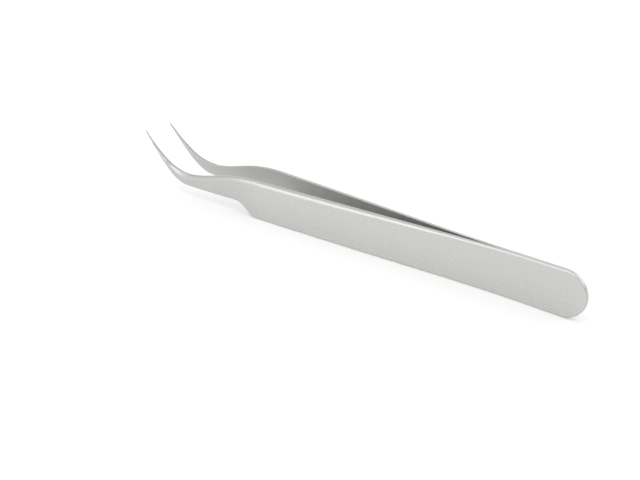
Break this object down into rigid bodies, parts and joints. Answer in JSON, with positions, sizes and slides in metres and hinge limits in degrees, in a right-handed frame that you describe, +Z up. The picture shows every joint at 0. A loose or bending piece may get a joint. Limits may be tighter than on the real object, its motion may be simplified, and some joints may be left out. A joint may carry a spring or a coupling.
{
  "type": "angled tweezers",
  "caption": "Fine tweezers of sprung steel: two mirrored flat arms, joined flat to flat at a round tail, narrowing past a shoulder to needle tips bent upward.",
  "frame": {"origin": "middle of the footprint, on the plane that the arms' lower edges stand on", "axes": "+X from the tips to the welded tail, +Y from the front arm to the rear arm, +Z up, the way the tips bend"},
  "size_m": [0.115, 0.01, 0.0121],
  "materials": {
    "steel": "fine satin, nearly plain"
  },
  "bodies": {
    "root": {"front_arm": "steel", "rear_arm": "steel"}
  },
  "joints": []
}
